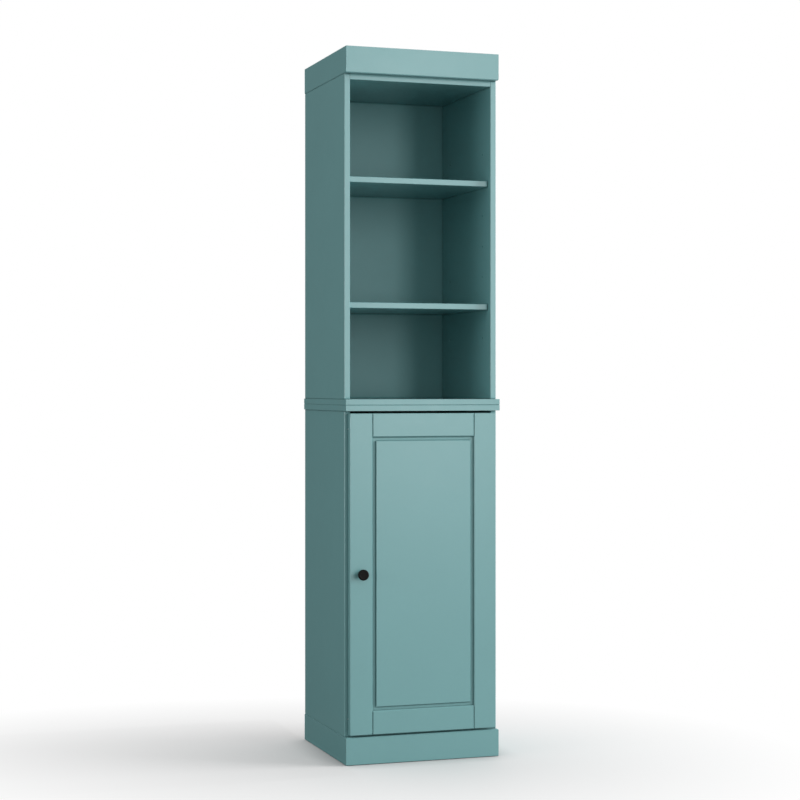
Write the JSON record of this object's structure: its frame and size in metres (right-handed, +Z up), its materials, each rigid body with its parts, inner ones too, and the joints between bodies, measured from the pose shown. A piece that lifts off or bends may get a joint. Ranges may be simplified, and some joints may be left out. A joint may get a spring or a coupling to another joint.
{
  "type": "tall bathroom cabinet",
  "caption": "Tall narrow bathroom cabinet with a closed cupboard below, a framed door on concealed hinges, and an open shelved hutch above with plinth and cornice.",
  "frame": {"origin": "on the floor, under the centre of the overall box (knob included)", "axes": "+X to the cabinet's right as seen from the front, +Y to the back, +Z up; the door faces -Y"},
  "size_m": [0.423, 0.419, 1.85],
  "materials": {
    "painted_board": "satin grey-green blue paint on board",
    "painted_hardboard": "satin grey-green blue paint on thin hardboard",
    "bare_wood": "unpainted softwood",
    "glide_plastic": "matte",
    "bumper_plastic": "soft clear",
    "knob_metal": "satin black",
    "zinc": "dull die-cast zinc",
    "steel": "nickel-plated steel"
  },
  "bodies": {
    "cabinet": {"cam_bolts": "steel", "cam_locks": "zinc", "cornice_corner_blocks": "bare_wood", "cornice_front": "painted_board", "cornice_left": "painted_board", "cornice_right": "painted_board", "door_bumpers": "bumper_plastic", "dowels": "bare_wood", "floor_glides": "glide_plastic", "hinge_arm_screws": "steel", "hinge_plate_screws": "steel", "hutch_back": "painted_hardboard", "hutch_bottom": "painted_board", "hutch_left_side": "painted_board", "hutch_right_side": "painted_board", "hutch_shelf_pins": "steel", "hutch_top": "painted_board", "lower_back": "painted_hardboard", "lower_bottom": "painted_board", "lower_hinge_arm": "steel", "lower_hinge_plate": "steel", "lower_left_side": "painted_board", "lower_right_side": "painted_board", "lower_shelf": "painted_board", "lower_shelf_pins": "steel", "lower_top": "painted_board", "middle_shelf": "painted_board", "plinth_back": "painted_board", "plinth_corner_blocks": "bare_wood", "plinth_front": "painted_board", "plinth_left": "painted_board", "plinth_right": "painted_board", "unit_screws": "steel", "upper_hinge_arm": "steel", "upper_hinge_plate": "steel", "upper_shelf": "painted_board", "wall_bracket": "steel", "wall_bracket_screws": "steel"},
    "door": {"door_left_stile": "painted_board", "door_right_stile": "painted_board", "door_top_rail": "painted_board", "door_bottom_rail": "painted_board", "door_panel": "painted_board", "door_knob": "knob_metal", "knob_screw": "steel", "upper_hinge_cup": "steel", "lower_hinge_cup": "steel", "upper_hinge_pin": "steel", "lower_hinge_pin": "steel", "hinge_cup_screws": "steel"}
  },
  "joints": [
    {"name": "door_hinge", "type": "hinge", "parent": "cabinet", "child": "door", "pos_m": [0.1925, -0.1775, 0.49125], "axis": [0, 0, 1], "range_deg": [0, 100]}
  ]
}
